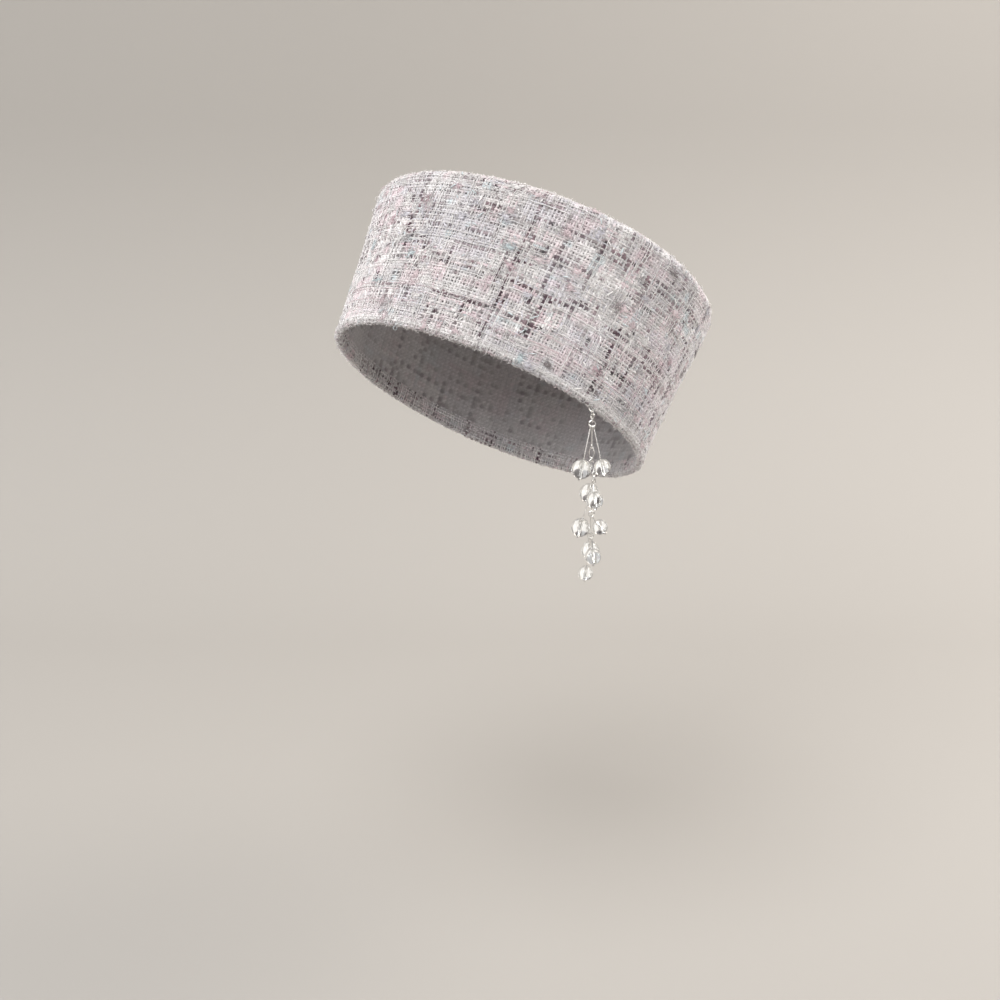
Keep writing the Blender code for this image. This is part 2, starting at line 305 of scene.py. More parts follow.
def tube_faces(count, steps, sides, closed):
    """Faces of tubes whose points run by tube, step and side; open tubes get end caps."""
    tube = np.arange(count)[:, None, None] * steps * sides
    step = np.arange(steps if closed else steps - 1)[None, :, None]
    side = np.arange(sides)[None, None, :]
    following = (step + 1) % steps
    turned = (side + 1) % sides
    corners = (
        tube + step * sides + side,
        tube + step * sides + turned,
        tube + following * sides + turned,
        tube + following * sides + side,
    )
    faces = np.stack(np.broadcast_arrays(*corners), axis=-1).reshape(-1, 4).tolist()
    if not closed:
        start = np.arange(count)[:, None] * steps * sides + np.arange(sides)[None, :]
        faces += start[:, ::-1].tolist()
        faces += (start + (steps - 1) * sides).tolist()
    return faces


# A slanting direction for round tubes, along which none of them runs
ANY_FACING = np.array((0.31, 0.87, 0.38))


def swept(paths, radii, flat=1.0, facing=None, sides=3):
    """Points of tubes along paths (tube, step, 3); flat squeezes them in the facing direction."""
    ahead = np.gradient(paths, axis=1)
    ahead /= np.linalg.norm(ahead, axis=-1, keepdims=True) + 1e-9
    if facing is None:
        facing = np.broadcast_to(ANY_FACING, paths.shape)
    across = np.cross(ahead, facing)
    across /= np.linalg.norm(across, axis=-1, keepdims=True) + 1e-9
    up = np.cross(across, ahead)
    turn = 2 * math.pi * np.arange(sides) / sides + math.pi / 2
    ring = across[:, :, None, :] * np.cos(turn)[None, None, :, None]
    ring = ring + up[:, :, None, :] * (flat * np.sin(turn))[None, None, :, None]
    return paths[:, :, None, :] + ring * radii[:, :, None, None]


# Pattern of the tweed

GROUND = {
    "ivory": 34, "white": 14, "pink": 6, "grey": 24, "lilac": 9,
    "rose": 1, "stone": 3, "mauve": 0.8, "plum": 0.5, "umber": 0.4, "blue": 1,
}
DARK_YARN = {"plum": 36, "umber": 14, "mauve": 22, "stone": 16, "grey": 8, "pink": 3, "ivory": 9}
SOFT_DARK_YARN = {"plum": 9, "umber": 4, "mauve": 15, "stone": 30, "grey": 24, "pink": 6, "ivory": 15}
RUN_LENGTHS = {
    "plum": (1, 5), "mauve": (1, 4), "umber": (1, 2), "stone": (1, 5), "blue": (1, 3), "rose": (1, 4),
    "pink": (3, 9), "grey": (2, 8), "ivory": (2, 8), "white": (1, 5), "lilac": (2, 6),
}

# How much tones vary from cell to cell, and the palest that a yarn may be
TONE_VARIES = 0.07
DARK_VARIES = 0.3
PALEST = 0.97
# Mixing of the hem's yarns towards white: partly the rolled fold's own paler tone, partly painted light on
# the downward-facing hem, which falls in shade
HEM_PALE_AND_LIT = 0.9

# Yarns from one dark yarn to the next, and to the next softly dark one, first up the cloth and then round it
BAND_SPANS = (9, 5, 11, 6)
CROWN_SPANS = (12, 5, 13, 6)

# Clusters where the dark tones come more often: their size in cells, strength and limits
CLUSTER_CELLS = 9
CLUSTER_STRENGTH = 1.5
CLUSTER_LIMITS = (0.1, 2.5)

# Soft patches: tone, patches round the hat, height in cells, seed, where they start and strength
PATCH_EDGE = 0.2
PATCH_ON_DARK = 0.25
PATCHES = (
    ("grey", 30, 8.0, 302, 0.15, 0.6),
    ("lilac", 26, 9.0, 303, 0.15, 0.5),
    ("white", 46, 6.0, 304, 0.30, 0.6),
    ("pink", 24, 9.0, 301, 0.25, 0.3),
    ("pink", 84, 3.6, 305, 0.45, 0.7),
    ("rose", 76, 3.2, 306, 0.62, 0.65),
    ("blue", 72, 3.6, 307, 0.62, 0.75),
)


def yarn_tones(count, weights, field, rng):
    """Tones along one yarn in runs; where the field is high the dark tones come more often."""
    names = list(weights)
    plain = np.array([weights[name] for name in names], float)
    is_dark = np.array([tone_number(name) in DARK_TONES for name in names])
    tones = np.zeros(count, int)
    place = 0
    while place < count:
        chances = np.where(is_dark, plain * field[place], plain)
        name = names[rng.choice(len(names), p=chances / chances.sum())]
        low, high = RUN_LENGTHS[name]
        length = int(rng.integers(low, high + 1))
        tones[place:place + length] = tone_number(name)
        place += length
    return tones


def yarn_kinds(count, dark_every, soft_every, rng):
    """0 for a plain yarn, 1 for a dark one, 2 for a softly dark one, as they come across the cloth."""
    kinds = np.zeros(count, int)
    for kind, every, early in ((1, dark_every, 2), (2, soft_every, 1)):
        place = int(rng.integers(1, every))
        while place < count:
            kinds[place] = kinds[place] or kind
            place += int(rng.integers(every - early, every + 3))
    return kinds


def make_pattern(across, along, spans, seed):
    """Tones by (yarn, cell) and kinds by yarn, first up the cloth and then round it."""
    rng = np.random.default_rng(seed)
    column = np.arange(across)[:, None] / across
    row = np.arange(along)[None, :] / CLUSTER_CELLS
    clusters = lattice_noise(column, row, max(across // CLUSTER_CELLS, 2), seed + 1)
    field = np.clip(1.0 + CLUSTER_STRENGTH * clusters, *CLUSTER_LIMITS)
    made = []
    for count, length, dark, soft, values in (
        (across, along, spans[0], spans[1], field),
        (along, across, spans[2], spans[3], field.T),
    ):
        kinds = yarn_kinds(count, dark, soft, rng)
        weights = (GROUND, DARK_YARN, SOFT_DARK_YARN)
        tones = np.stack([yarn_tones(length, weights[kinds[i]], values[i], rng) for i in range(count)])
        made.append((tones, kinds))
    return made


def coloured(tones, u, v, rng):
    """Linear colours of tones at places u (0 to 1, repeating) and v (cells), with patches of tone."""
    colours = TONE_TABLE[tones]
    dark = np.isin(tones, DARK_TONES)
    uneven = DARK_VARIES * lattice_noise(u, v / 2.4, 120, 300)
    colours = colours * np.where(dark, 1 + uneven, 1 + 0.25 * uneven)[..., None]
    for name, around, tall, seed, start, strength in PATCHES:
        drift = lattice_noise(u, v / tall, around, seed)
        mix = np.clip((drift - start) / PATCH_EDGE, 0, 1) * np.where(dark, PATCH_ON_DARK, 1.0)
        mix = (mix * strength)[..., None]
        colours = colours * (1 - mix) + TONE_TABLE[tone_number(name)] * mix
    lighter = 1 + TONE_VARIES * rng.standard_normal(colours.shape[:-1])[..., None]
    return np.clip(colours * lighter, 0.0, PALEST)


# Yarns of the band, with cells counted by column round the hat and by row up the cloth

ROW_STARTS = np.linspace(-ROWS_INSIDE * CELL, BAND_LENGTH, ROWS)
ROW_JITTER = np.random.default_rng(21).uniform(-0.2, 0.2, ROWS)
COLUMN_JITTER = np.random.default_rng(23).uniform(-0.2, 0.2, COLUMNS)


def row_s(row, theta):
    """Length up the cloth of a row, with its slow waver round the hat."""
    spacing = ROW_STARTS[1] - ROW_STARTS[0]
    base = np.interp(row, np.arange(ROWS), ROW_STARTS + ROW_JITTER * spacing)
    waver = lattice_noise((theta / (2 * math.pi)) % 1.0, row / 7.0, 40, 22)
    return np.minimum(base + ROW_WAVER * waver, BAND_LENGTH + 0.4)


def column_theta(column, row):
    """Angle of a column, with its slow waver up the hat."""
    index = np.floor(column).astype(int)
    part = column - index
    jitter = COLUMN_JITTER[index % COLUMNS] * (1 - part) + COLUMN_JITTER[(index + 1) % COLUMNS] * part
    waver = lattice_noise((column % COLUMNS) / COLUMNS, row / 6.0, 60, 24)
    return (column + jitter + COLUMN_WAVER * waver) * 2 * math.pi / COLUMNS


def warp_over(column, row):
    """1 where the yarn up the cloth lies over the one it crosses, -1 where it lies under."""
    return np.where((column + row) % 2 == 0, 1.0, -1.0)


def yarn_sizes(tone, kinds, sign, rng):
    """Width, thickness and height of thick yarns cell by cell; the dark cells are fuller."""
    girth = np.array(YARN_GIRTHS)[kinds] * (1 + GIRTH_VARIES * rng.standard_normal(tone.shape))
    girth = np.clip(girth, *GIRTH_LIMITS) * np.where(np.isin(tone, DARK_TONES), DARK_GIRTH, 1.0)
    round_girth = np.sqrt(girth)
    return YARN_WIDTH * girth, YARN_THICK * round_girth, YARN_LIFT + YARN_SWING * sign * round_girth


def section(width, thick, height, foot):
    """Sideways places and lifts of a yarn's three corners: two at its foot and one on its back."""
    sideways = np.stack((-width / 2, np.zeros_like(width), width / 2), axis=-1)
    lift = np.stack((-foot * thick, (1 - foot) * thick, -foot * thick), axis=-1)
    return sideways, height[..., None] + lift


def laid_on_band(theta, s, sideways, lift, round_way):
    """Points of the sections of yarns that run round the band or up it."""
    if round_way:
        return on_cloth(theta[..., None] + 0 * sideways, s[..., None] - sideways, lift)
    return on_cloth(theta[..., None] + sideways / MEAN_RADIUS, s[..., None] + 0 * sideways, lift)


def band_yarns(name, round_way, pattern, seed):
    """The thick yarns of one direction as one mesh of closed or capped tubes."""
    rng = np.random.default_rng(seed)
    tone, kinds = pattern
    yarn, cell = np.meshgrid(np.arange(tone.shape[0]), np.arange(tone.shape[1]), indexing="ij")
    column, row = (cell, yarn) if round_way else (yarn, cell)
    sign = warp_over(column, row) * (-1 if round_way else 1)
    theta = column_theta(column.astype(float), row.astype(float))
    s = row_s(row.astype(float), theta)
    width, thick, height = yarn_sizes(tone, kinds[:, None], sign, rng)
    sideways, lift = section(width, thick, height, YARN_FOOT)
    points = laid_on_band(theta, s, sideways, lift, round_way)
    colours = coloured(tone, column / COLUMNS, row.astype(float), rng)
    # Hem yarns mixed towards white: the fold's paler tone and painted light on its shaded underside
    hem_pale_and_lit = HEM_PALE_AND_LIT * np.clip(1.3 - np.abs(s - HEM_LENGTH - 0.8) / 2.0, 0, 1)[..., None]
    colours = colours * (1 - hem_pale_and_lit) + TONE_TABLE[tone_number("white")] * hem_pale_and_lit
    colours = np.repeat(colours[:, :, None, :], 3, axis=2)
    faces = tube_faces(*tone.shape, 3, round_way)
    return build_mesh(name, points, faces, colours)


def band_threads(name, round_way, keep, seed):
    """Fine pale threads that lie over the thick yarns, between their rows or columns."""
    rng = np.random.default_rng(seed)
    count = ROWS - 1 if round_way else COLUMNS
    first = ROWS_INSIDE + 3 if round_way else 0
    yarns = np.arange(first, count)
    yarns = yarns[rng.uniform(size=len(yarns)) < keep]
    offset = 0.5 + rng.uniform(-0.22, 0.22, len(yarns))
    steps = np.arange(COLUMNS if round_way else ROWS)
    one, other = np.broadcast_arrays((yarns + offset)[:, None], steps[None, :].astype(float))
    row, column = (one, other) if round_way else (other, one)
    theta = column_theta(column, row)
    s = row_s(row, theta)
    wander = rng.standard_normal(theta.shape) * THREAD_WANDER
    if round_way:
        s = s + wander
    else:
        theta = theta + wander / MEAN_RADIUS
    swing = THREAD_SWING * np.cos(math.pi * (other + np.round(one))) * (1 if round_way else -1)
    height = THREAD_LIFT + swing + THREAD_UNEVEN * rng.standard_normal(theta.shape)
    drift = lattice_noise((yarns * 0.137 % 1.0)[:, None], other / 5.5, 97, seed + 3)
    height = np.where(drift < THREAD_DIVES_BELOW, THREAD_LIFT - THREAD_DIVE, height)
    if not round_way:
        height[:, (0, -1)] = THREAD_END_LIFT
    own = rng.choice(list(THREAD_GIRTHS), size=(len(yarns), 1), p=list(THREAD_GIRTHS.values()))
    width = THREAD_WIDTH * own * np.clip(1 + 0.2 * rng.standard_normal(theta.shape), 0.6, 1.6)
    sideways, lift = section(width, np.full_like(width, THREAD_THICK), height, THREAD_FOOT)
    points = laid_on_band(theta, s, sideways, lift, round_way)
    pale = [tone_number(name) for name in THREAD_TONES]
    pale = rng.choice(pale, size=len(yarns), p=list(THREAD_TONES.values()))
    colours = TONE_TABLE[pale][:, None, None, :] * np.ones(points.shape)
    lighter = 1 + 0.05 * rng.standard_normal(points.shape[:2])[..., None, None]
    colours = np.clip(colours * lighter, 0, PALEST)
    faces = tube_faces(len(yarns), len(steps), 3, round_way)
    return build_mesh(name, points, faces, colours)


# Shell of the band under the yarns, with the reverse of the weave on its inner face

def inner_relief(columns, rows, cell_columns, cell_rows, seed):
    """Lift and colour of the reverse of the weave at half-cell places, columns repeating, with painted shade
    in the sunk places.
    """
    rng = np.random.default_rng(seed)
    across, along = np.meshgrid(np.arange(columns), np.arange(rows), indexing="ij")
    middle = (across % 2 == 0) & (along % 2 == 0)
    cell_across = (across // 2) % cell_columns
    cell_along = along // 2
    (warp, _), (weft, _) = make_pattern(cell_columns, cell_rows + 1, BAND_SPANS, seed)
    over = (cell_across + cell_along) % 2 == 0
    tones = np.where(over, warp[cell_across, cell_along], weft[cell_along, cell_across])
    colours = coloured(tones, cell_across / cell_columns, cell_along.astype(float), rng)
    lift = np.where(middle, INNER_RAISED, INNER_SUNK) + 0.08 * rng.standard_normal(middle.shape)
    colours = colours * (1 - INNER_FADED) + TONE_TABLE[tone_number("grey")] * INNER_FADED
    # The sunk places are darker than the raised middles: painted shade in the hollows of the weave
    colours = colours * np.where(middle, 0.97, 0.80)[..., None]
    return lift, colours


def band_shell():
    """Closed shell in the place of side_band: an outer side under the yarns in painted gap shade, a woven
    inner side.
    """
    around = INNER_COLUMNS * 2
    hem = np.linspace(0, HEM_LENGTH, 5)[:-1]
    face = np.linspace(HEM_LENGTH, HEM_LENGTH + SIDE_LENGTH, 14)[:-1]
    top = np.linspace(HEM_LENGTH + SIDE_LENGTH, BAND_LENGTH, 6)
    s_outer = np.concatenate((hem, face, top))
    theta = np.linspace(0, 2 * math.pi, around, endpoint=False)[:, None]
    lift = np.where(s_outer < HEM_LENGTH, SHELL_LIFT * 0.6, SHELL_LIFT)[None, :]
    outer = on_cloth(*np.broadcast_arrays(theta, s_outer[None, :]), lift + 0 * theta)
    heights = [BAND_HEIGHT - below for below, inset in INNER_SEAM]
    insets = [inset for below, inset in INNER_SEAM]
    rows = INNER_ROWS * 2
    relief, inner_colours = inner_relief(around, rows, INNER_COLUMNS, INNER_ROWS, 71)
    heights += np.linspace(INNER_FACE_TOP, HEM_ROUND, rows + 1)[:-1].tolist()
    insets += [WALL] * rows
    raised = np.concatenate((np.zeros((around, len(INNER_SEAM))), relief), axis=1)
    inside = wall(theta, np.array(heights)[None, :], np.array(insets)[None, :] + raised)
    points = np.concatenate((outer, inside), axis=1)
    count = points.shape[1]
    # Outer side in the darkened shell colour: painted shade between the yarns
    colours = np.ones((around, count, 3)) * GAP_SHADE_COLOUR
    colours[:, len(s_outer):] = inner_colours[:, :1]
    colours[:, len(s_outer) + len(INNER_SEAM):] = inner_colours
    faces = [face[:1] + face[:0:-1] for face in tube_faces(1, around, count, True)]
    return build_mesh("tweed_band", points, faces, colours)


# Crown: a slab with the reverse of the weave below, and yarns laid straight across it

def crown_reach(theta):
    """Distance from the middle to the seam, in the direction theta."""
    edge = wall(theta, np.full_like(theta, BAND_HEIGHT), SEAM_INSET + SEAM_GAP)
    return np.hypot(edge[..., 0], edge[..., 1])


def crown_height(x, y):
    reach = crown_reach(np.arctan2(y, x))
    return BAND_HEIGHT + CROWN_DOME * (1 - np.clip(np.hypot(x, y) / reach, 0, 1) ** 2)


def crown_slab():
    """Closed slab on a square grid whose outer points are drawn in to the seam."""
    spacing = UNDER_CELL / 2
    half = int(math.ceil((TOP_RADIUS + 4) / spacing))
    index = np.arange(-half, half + 1)
    gx, gy = np.meshgrid(index * spacing, index * spacing, indexing="ij")
    reach = crown_reach(np.arctan2(gy, gx)) - 0.3
    distance = np.hypot(gx, gy)
    inside = distance < reach - 0.25 * spacing
    pull = np.where(inside, 1.0, reach / np.maximum(distance, 1e-6))
    x = gx * pull
    y = gy * pull
    side = len(index)
    corner = np.arange(side * side).reshape(side, side)
    quads = np.stack((corner[:-1, :-1], corner[1:, :-1], corner[1:, 1:], corner[:-1, 1:]), axis=-1)
    kept = inside[:-1, :-1] | inside[1:, :-1] | inside[1:, 1:] | inside[:-1, 1:]
    quads = quads[kept]
    used = np.unique(quads)
    number = np.full(side * side, -1)
    number[used] = np.arange(len(used))
    quads = number[quads]
    cells = side // 2 + 1
    relief, colours = inner_relief(side, side, cells, cells, 81)
    flat = np.where(inside, relief, 0.0).ravel()[used]
    x, y = x.ravel()[used], y.ravel()[used]
    top = np.stack((x, y, crown_height(x, y) + SHELL_LIFT), axis=-1)
    under = np.stack((x, y, crown_height(x, y) - CROWN_THICK - flat), axis=-1)
    total = len(used)
    faces = quads.tolist() + (quads[:, ::-1] + total).tolist()
    edges = np.concatenate([quads[:, [a, (a + 1) % 4]] for a in range(4)]).tolist()
    shared = {(b, a) for a, b in edges}
    faces += [(a + total, b + total, b, a) for a, b in edges if (a, b) not in shared]
    # The crown's top in the darkened shell colour: painted shade between the yarns
    plain = np.ones((total, 3)) * GAP_SHADE_COLOUR
    colours = np.concatenate((plain, colours.reshape(-1, 3)[used]))
    return build_mesh("tweed_crown", np.concatenate((top, under)), faces, colours)


def crown_cells(place, along_x):
    """Both ends of a line that runs across the crown at this place, and the cells between them."""
    step = 0.5
    lengths = np.arange(-TOP_RADIUS, TOP_RADIUS, step)
    aside = np.full_like(lengths, place)
    x, y = (lengths, aside) if along_x else (aside, lengths)
    held = lengths[np.hypot(x, y) < crown_reach(np.arctan2(y, x)) - CROWN_EDGE_GAP]
    if len(held) * step < CROWN_SHORTEST:
        return None, None
    first = int(math.ceil(held.min() / CROWN_CELL))
    last = int(math.floor(held.max() / CROWN_CELL))
    return (held.min(), held.max()), np.arange(first, last + 1)


def with_ends(values):
    """The same values with the first and the last one repeated for the cut ends."""
    return np.concatenate((values[:1], values, values[-1:]))


def crown_points(place, index, ends, cell, along_x, sizes):
    """Points of one line, with a section at each cell and at both cut ends, which dip at the seam."""
    width, thick, height = sizes
    steps = np.concatenate((ends[:1], cell * CROWN_CELL, ends[1:]))
    height = np.concatenate(((CROWN_END_LIFT,), height, (CROWN_END_LIFT,)))
    sideways, lift = section(with_ends(width), with_ends(thick), height, YARN_FOOT)
    number = np.full_like(steps, (index + CROWN_HALF) / 5.0)
    sway = place + 0.4 * lattice_noise((steps / 220.0) % 1.0, number, 24, 91)
    if along_x:
        x, y = steps[:, None] + 0 * sideways, sway[:, None] + sideways
    else:
        x, y = sway[:, None] - sideways, steps[:, None] + 0 * sideways
    return np.stack((x, y, crown_height(x, y) + lift), axis=-1)


def join_lines(name, lines):
    """One mesh of capped tubes of different lengths, from the points and colours of each."""
    faces = []
    base = 0
    for points, colours in lines:
        faces += [[corner + base for corner in face] for face in tube_faces(1, len(points), 3, False)]
        base += len(points) * 3
    points = np.concatenate([points.reshape(-1, 3) for points, colours in lines])
    colours = np.concatenate([np.repeat(colours, 3, axis=0) for points, colours in lines])
    return build_mesh(name, points, faces, colours)


def crown_rows(along_x, keep, middle, spread, rng):
    """Lines of one direction of the crown: index, place, ends, cells and where each lies over."""
    for index in range(-CROWN_HALF, CROWN_HALF + 1):
        if keep < 1 and rng.uniform() > keep:
            continue
        place = (index + (middle + rng.uniform(-spread, spread))) * CROWN_CELL
        ends, cell = crown_cells(place, along_x)
        if ends is not None:
            yield index, place, ends, cell, warp_over(cell, index) * (-1 if along_x else 1)


def crown_yarns(name, along_x, pattern, seed):
    """The thick yarns of one direction of the crown, each cut to its own length."""
    rng = np.random.default_rng(seed)
    tones, kinds = pattern
    lines = []
    for index, place, ends, cell, sign in crown_rows(along_x, 1.0, 0.0, 0.15, rng):
        tone = tones[index + CROWN_HALF, cell + CROWN_HALF]
        width, thick, height = yarn_sizes(tone, kinds[index + CROWN_HALF], sign, rng)
        sizes = (width * CROWN_CELL / CELL, thick, height)
        points = crown_points(place, index, ends, cell, along_x, sizes)
        u = (points[:, 1, 0] / (2 * math.pi * TOP_RADIUS)) % 1.0
        v = (points[:, 1, 1] + 110) / CROWN_CELL
        lines.append((points, coloured(with_ends(tone), u, v, rng)))
    return join_lines(name, lines)


def crown_threads(name, along_x, keep, seed):
    """Fine pale threads over the crown's thick yarns, each cut to its own length."""
    rng = np.random.default_rng(seed)
    lines = []
    for index, place, ends, cell, sign in crown_rows(along_x, keep, 0.5, 0.2, rng):
        height = THREAD_LIFT + THREAD_SWING * sign + THREAD_UNEVEN * rng.standard_normal(len(cell))
        width = THREAD_WIDTH * np.clip(1 + 0.25 * rng.standard_normal(len(cell)), 0.6, 1.7)
        sizes = (width, np.full(len(cell), THREAD_THICK), height)
        points = crown_points(place, index, ends, cell, along_x, sizes)
        pale = "white" if rng.uniform() < 0.7 else "ivory"
        lines.append((points, np.ones((len(points), 3)) * TONE_TABLE[tone_number(pale)]))
    return join_lines(name, lines)


# Loose pieces on the surface: curls, glints, tufts and fuzz

TUFT_TONES = {
    "pink": 0.32, "white": 0.14, "rose": 0.09, "grey": 0.09, "lilac": 0.14,
    "blue": 0.10, "ivory": 0.06, "stone": 0.06,
}
CURL_TONES = {"white": 0.62, "ivory": 0.2, "pink": 0.12, "blue": 0.06}
GLINT_TONES = {"white": 0.7, "blue": 0.18, "lilac": 0.12}
FUZZ_TONES = {"white": 0.62, "ivory": 0.2, "pink": 0.12, "grey": 0.06}

# Fuzz over all, at the hem, at the top edge and at the cut edge inside: fibres, lowest and highest place
# up the cloth, part of them on the crown, length, how far they stand up and thickness
FUZZ = (
    (4400, 0.0, BAND_LENGTH, 0.3, 2.2, 0.75, 1.4),
    (2400, 0.5, 6.5, 0.0, 1.9, 0.9, 1.9),
    (2100, HEM_LENGTH + SIDE_LENGTH - 2.0, BAND_LENGTH + 0.2, 0.0, 1.9, 0.9, 1.4),
    (420, -ROWS_INSIDE * CELL - 0.5, -ROWS_INSIDE * CELL + 1.5, 0.0, 1.4, 0.25, 1.2),
)


def surface_axes(theta, s):
    """Points, and the directions round the hat, up the cloth and outward there."""
    here, round_way, normal = cloth_frame(theta, s)
    round_way /= np.linalg.norm(round_way, axis=-1, keepdims=True)
    return here, round_way, np.cross(normal, round_way), normal


def crown_axes(x, y):
    """The same for places on the crown, which is taken as level."""
    here = np.stack((x, y, crown_height(x, y)), axis=-1)
    return [here] + [np.broadcast_to(axis, here.shape) for axis in np.eye(3)]


def spots(count, rng, low, high, crown_part=0.3):
    """Random places over the band, and a part of them over the crown, with their directions."""
    on_crown = int(count * crown_part)
    theta = rng.uniform(0, 2 * math.pi, count - on_crown)
    s = rng.uniform(low, high, count - on_crown)
    band_part = surface_axes(theta, s)
    if not on_crown:
        return band_part
    turn = rng.uniform(0, 2 * math.pi, on_crown)
    out = np.sqrt(rng.uniform(0, 1, on_crown)) * (crown_reach(turn) - 1.0)
    crown = crown_axes(out * np.cos(turn), out * np.sin(turn))
    return [np.concatenate(pair) for pair in zip(band_part, crown)]


def pick_tones(count, chances, rng, vary=0.05):
    """Colours for loose pieces, from the chance of each tone."""
    numbers = [tone_number(name) for name in chances]
    picked = rng.choice(numbers, size=count, p=list(chances.values()))
    colours = TONE_TABLE[picked] * (1 + vary * rng.standard_normal(count)[:, None])
    return np.clip(colours, 0, PALEST)


def strewn(count, rng, low):
    """Random places, a direction over the cloth at each, turned by chance, and the outward one."""
    here, round_way, up_way, normal = spots(count, rng, low, BAND_LENGTH)
    turn = rng.uniform(0, 2 * math.pi, count)[:, None]
    return here, round_way * np.cos(turn) + up_way * np.sin(turn), normal


def curls(count, seed):
    """Small loops of pale yarn that stand out of the cloth."""
    rng = np.random.default_rng(seed)
    here, along, normal = strewn(count, rng, 1.0)
    side = np.cross(normal, along)
    steps = 8
    angle = np.linspace(0, 1.0, steps)[None, :] * rng.uniform(3.2, 6.0, (count, 1))
    size = rng.uniform(0.55, 1.25, (count, 1))
    lean = rng.uniform(0.25, 0.9, (count, 1))
    paths = here[:, None, :] + along[:, None, :] * (size * np.sin(angle))[..., None]
    rise = size * (1 - np.cos(angle))
    paths = paths + normal[:, None, :] * (0.25 + rise * lean)[..., None]
    paths = paths + side[:, None, :] * (rise * (1 - lean) + 0.12 * angle)[..., None]
    radii = rng.uniform(0.13, 0.24, (count, 1)) * np.ones((1, steps))
    points = swept(paths, radii)
    tones = pick_tones(count, CURL_TONES, rng)
    colours = np.repeat(tones, steps * 3, axis=0)
    return build_mesh("tweed_curls", points, tube_faces(count, steps, 3, False), colours)


def glints(count, seed):
    """Short bright flat filaments."""
    rng = np.random.default_rng(seed)
    here, along, normal = strewn(count, rng, 4.0)
    steps = 4
    t = np.linspace(-1, 1, steps)
    half = rng.uniform(0.8, 2.4, (count, 1))
    paths = here[:, None, :] + along[:, None, :] * (half * t)[..., None]
    paths = paths + normal[:, None, :] * (0.85 - 0.25 * t * t)[None, :, None]
    radii = rng.uniform(0.22, 0.45, (count, 1)) * (1.1 - 0.5 * t * t)[None, :]
    facing = np.broadcast_to(normal[:, None, :], paths.shape)
    points = swept(paths, radii, flat=0.3, facing=facing, sides=4)
    tones = pick_tones(count, GLINT_TONES, rng, 0.02)
    colours = np.repeat(np.clip(tones * 1.05, 0, 0.98), steps * 4, axis=0)
    return build_mesh("tweed_glints", points, tube_faces(count, steps, 4, False), colours)


def fibre_points(here, along, side, normal, rng, length, stand, turn, thick):
    """Points of fibres that bend over the surface: two rings of three and a tip each."""
    count = len(here)
    turn = turn[:, None]
    flat = along * np.cos(turn) + side * np.sin(turn)
    other = np.cross(normal, flat)
    reach = (rng.uniform(0.5, 1.3, count) * length)[:, None, None]
    rise = (rng.uniform(0.15, 1.0, count) * stand)[:, None, None]
    t = np.array((0.0, 0.5, 1.0))[None, :, None]
    curl = rng.uniform(-0.6, 0.6, count)[:, None, None]
    paths = here[:, None, :] + flat[:, None, :] * reach * t
    paths = paths + normal[:, None, :] * reach * rise * (t * (1.5 - 0.7 * t))
    paths = paths + other[:, None, :] * reach * curl * t * t
    radii = thick * rng.uniform(0.06, 0.13, (count, 1)) * np.array((1.0, 0.8, 0.0))[None, :]
    points = swept(paths, radii).reshape(count, 9, 3)
    return points[:, :FIBRE_POINTS]


def fibre_faces(count):
    """Two bands of sides and a closed foot for each fibre."""
    one = [(0, 1, 4, 3), (1, 2, 5, 4), (2, 0, 3, 5), (3, 4, 6), (4, 5, 6), (5, 3, 6), (2, 1, 0)]
    faces = []
    for corners in one:
        faces += (np.arange(count)[:, None] * FIBRE_POINTS + np.array(corners)[None, :]).tolist()
    return faces


def mound_faces():
    """Faces of one mound: a skirt, a cap and a closed foot."""
    sides = [(corner, (corner + 1) % MOUND_RIM) for corner in range(MOUND_RIM)]
    skirt = [(low, high, MOUND_RIM + high, MOUND_RIM + low) for low, high in sides]
    cap = [(MOUND_RIM + low, MOUND_RIM + high, 2 * MOUND_RIM) for low, high in sides]
    return skirt + cap + [tuple(reversed(range(MOUND_RIM)))]


def mounds(here, along, side, normal, long, wide, rng):
    """Points of low soft mounds: an uneven rim, a higher ring inside it and a top."""
    count = len(here)
    turn = 2 * math.pi * np.arange(MOUND_RIM) / MOUND_RIM
    spread = rng.uniform(0.5, 1.3, (count, MOUND_RIM))
    across = np.concatenate((spread, 0.62 * spread, np.zeros((count, 1))), axis=1)
    turns = np.concatenate((turn, turn, (0.0,)))
    rise = np.concatenate((np.full(MOUND_RIM, 0.05), np.full(MOUND_RIM, 0.42), (0.50,)))
    rise = rise[None, :] + 0.06 * rng.standard_normal((count, MOUND_POINTS))
    points = here[:, None, :] + along[:, None, :] * (across * np.cos(turns) * long[:, None])[..., None]
    points = points + side[:, None, :] * (across * np.sin(turns) * wide[:, None])[..., None]
    return points + normal[:, None, :] * rise[..., None]


